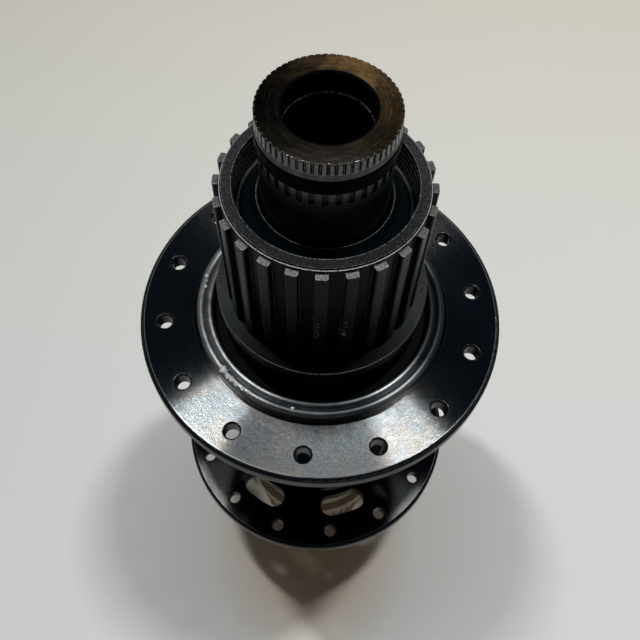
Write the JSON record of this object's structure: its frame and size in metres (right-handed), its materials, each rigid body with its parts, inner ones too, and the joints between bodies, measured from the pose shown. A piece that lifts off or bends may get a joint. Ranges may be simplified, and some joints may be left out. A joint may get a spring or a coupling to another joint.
{
  "type": "rear disc hub",
  "caption": "Rear bicycle hub with a splined freehub body, two flanges for bent spokes, a splined disc seat and a hollow axle for a thru-axle.",
  "frame": {"origin": "on the hub's axis, at the outer face of the disc-side lock nut", "axes": "+Z along the axle from the disc side to the drive side; the hub stands on its disc end; -Y faces the camera of the picture"},
  "size_m": [0.0656, 0.0656, 0.148],
  "materials": {
    "bronze_steel": "machined, bronze sheen",
    "black_sleeve": "black, satin",
    "black_shell": "anodised, glossy black",
    "dark_alloy": "sandblasted, hard anodised",
    "alloy": "turned",
    "bare_alloy": "machined",
    "hard_steel": "ground",
    "ball_steel": "polished",
    "spring_steel": "oiled",
    "rubber": "matt",
    "steel_seal": "black, satin"
  },
  "bodies": {
    "axle": {"axle": "alloy", "right_lock_nut": "bronze_steel", "left_lock_nut": "bronze_steel", "right_axle_spacer": "black_sleeve", "left_axle_spacer": "black_sleeve", "right_cone": "hard_steel", "left_cone": "hard_steel", "right_axle_o_ring": "rubber", "left_axle_o_ring": "rubber"},
    "hub_shell": {"hub_shell": "black_shell", "right_bearing_cup": "hard_steel", "left_bearing_cup": "hard_steel", "right_dust_seal": "steel_seal", "left_dust_seal": "steel_seal", "freehub_core": "hard_steel", "freehub_fixing_bolt": "alloy", "pawl_spring": "spring_steel", "drive_side_dust_ring": "bare_alloy", "freehub_rubber_seal": "rubber"},
    "freehub": {"freehub_body": "dark_alloy"},
    "right_ball_set": {"right_bearing_balls": "ball_steel", "right_ball_retainer": "spring_steel"},
    "left_ball_set": {"left_bearing_balls": "ball_steel", "left_ball_retainer": "spring_steel"},
    "freehub_outboard_ball_row": {"freehub_outboard_balls": "ball_steel"},
    "freehub_inboard_ball_row": {"freehub_inboard_balls": "ball_steel"},
    "pawl_1": {"pawl_1": "hard_steel"},
    "pawl_2": {"pawl_2": "hard_steel"},
    "pawl_3": {"pawl_3": "hard_steel"}
  },
  "joints": [
    {"name": "shell_spin", "type": "hinge", "parent": "axle", "child": "hub_shell", "pos_m": [0, 0, 0.069], "axis": [0, 0, 1], "continuous": true},
    {"name": "freehub_spin", "type": "hinge", "parent": "hub_shell", "child": "freehub", "pos_m": [0, 0, 0.11], "axis": [0, 0, 1], "continuous": true},
    {"name": "right_ball_set_spin", "type": "hinge", "parent": "axle", "child": "right_ball_set", "pos_m": [0, 0, 0.1235], "axis": [0, 0, 1], "continuous": true},
    {"name": "left_ball_set_spin", "type": "hinge", "parent": "axle", "child": "left_ball_set", "pos_m": [0, 0, 0.022], "axis": [0, 0, 1], "continuous": true},
    {"name": "freehub_outboard_ball_row_spin", "type": "hinge", "parent": "hub_shell", "child": "freehub_outboard_ball_row", "pos_m": [0, 0, 0.113], "axis": [0, 0, 1], "continuous": true},
    {"name": "freehub_inboard_ball_row_spin", "type": "hinge", "parent": "hub_shell", "child": "freehub_inboard_ball_row", "pos_m": [0, 0, 0.1074], "axis": [0, 0, 1], "continuous": true},
    {"name": "pawl_1_hinge", "type": "hinge", "parent": "hub_shell", "child": "pawl_1", "pos_m": [0.01188, -0.00529, 0.1015], "axis": [0, 0, 1], "range_deg": [-8, 0]},
    {"name": "pawl_2_hinge", "type": "hinge", "parent": "hub_shell", "child": "pawl_2", "pos_m": [-0.00136, 0.01293, 0.1015], "axis": [0, 0, 1], "range_deg": [-8, 0]},
    {"name": "pawl_3_hinge", "type": "hinge", "parent": "hub_shell", "child": "pawl_3", "pos_m": [-0.01052, -0.00764, 0.1015], "axis": [0, 0, 1], "range_deg": [-8, 0]}
  ],
  "couplings": [
    {"joint": "right_ball_set_spin", "follows": "shell_spin", "ratio": 0.5678},
    {"joint": "left_ball_set_spin", "follows": "shell_spin", "ratio": 0.5678},
    {"joint": "freehub_outboard_ball_row_spin", "follows": "freehub_spin", "ratio": 0.5645},
    {"joint": "freehub_inboard_ball_row_spin", "follows": "freehub_spin", "ratio": 0.5645},
    {"joint": "pawl_2_hinge", "follows": "pawl_1_hinge", "ratio": 1},
    {"joint": "pawl_3_hinge", "follows": "pawl_1_hinge", "ratio": 1}
  ]
}
